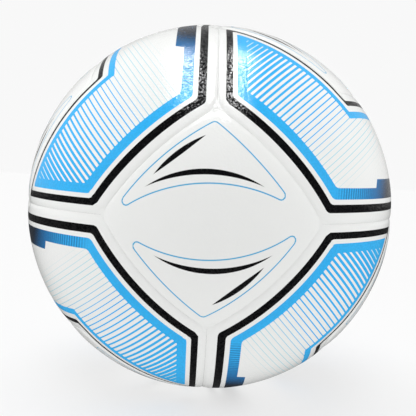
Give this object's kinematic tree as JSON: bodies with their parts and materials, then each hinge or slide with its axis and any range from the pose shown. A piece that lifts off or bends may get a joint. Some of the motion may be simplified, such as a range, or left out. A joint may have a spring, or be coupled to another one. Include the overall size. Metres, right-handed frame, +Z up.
{
  "type": "futsal ball",
  "caption": "Inflated laminated ball with a cover of square white panels and curved printed strips, foam backing, wound bladder and flush valve.",
  "frame": {"origin": "centre of the ball", "axes": "+Z up through a corner of the front square panel; -Y out through the middle of the front square panel; +Y out through the valve in the back square panel; +X to the right seen from the front"},
  "size_m": [0.2006, 0.2003, 0.2006],
  "materials": {
    "white_cover": "gloss polyurethane film with a fine pebble grain",
    "printed_cover": "gloss polyurethane film printed blue, black and white",
    "foam": "closed-cell foam",
    "carcass_rubber": "matt moulded rubber",
    "polyester_thread": "glued thread winding",
    "bladder_rubber": "smooth butyl rubber",
    "valve_rubber": "satin moulded rubber",
    "patch_rubber": "matt rubber"
  },
  "bodies": {
    "root": {"cover_square_front": "white_cover", "cover_square_back": "white_cover", "cover_square_top": "white_cover", "cover_square_left": "white_cover", "cover_square_bottom": "white_cover", "cover_square_right": "white_cover", "cover_strip_upper_right": "printed_cover", "cover_strip_upper_left": "printed_cover", "cover_strip_lower_left": "printed_cover", "cover_strip_lower_right": "printed_cover", "foam_square_front": "foam", "foam_square_back": "foam", "foam_square_top": "foam", "foam_square_left": "foam", "foam_square_bottom": "foam", "foam_square_right": "foam", "foam_strip_upper_right": "foam", "foam_strip_upper_left": "foam", "foam_strip_lower_left": "foam", "foam_strip_lower_right": "foam", "carcass": "carcass_rubber", "thread_winding": "polyester_thread", "bladder": "bladder_rubber", "valve_housing": "valve_rubber", "valve_core": "valve_rubber", "balance_patch": "patch_rubber"}
  },
  "joints": []
}
